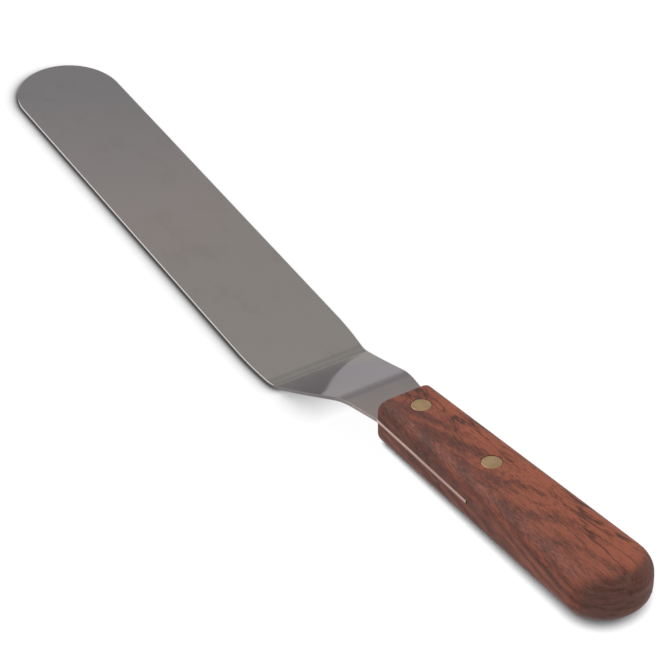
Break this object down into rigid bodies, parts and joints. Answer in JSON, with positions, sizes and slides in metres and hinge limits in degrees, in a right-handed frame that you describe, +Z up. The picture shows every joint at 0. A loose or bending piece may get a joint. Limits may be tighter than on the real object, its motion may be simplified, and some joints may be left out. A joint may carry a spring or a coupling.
{
  "type": "offset spatula",
  "caption": "Offset spatula: a flat round-tipped steel blade, cranked at the heel, with its tang riveted in a slotted hardwood handle.",
  "frame": {"origin": "middle of the blade's flat underside, halfway from the tip to the heel fold", "axes": "+X along the blade towards the handle, +Z up out of the blade's upper face, +Y across the blade"},
  "size_m": [0.3606, 0.0412, 0.0478],
  "materials": {
    "steel": "fine satin ground stainless sheet",
    "wood": "oiled reddish-brown rosewood with dark pores along the grain",
    "brass": "ground flush with the wood, lightly dulled"
  },
  "bodies": {
    "root": {"blade": "steel", "handle": "wood", "front_rivet_tube": "brass", "front_rivet_pin": "brass", "rear_rivet_tube": "brass", "rear_rivet_pin": "brass"}
  },
  "joints": []
}
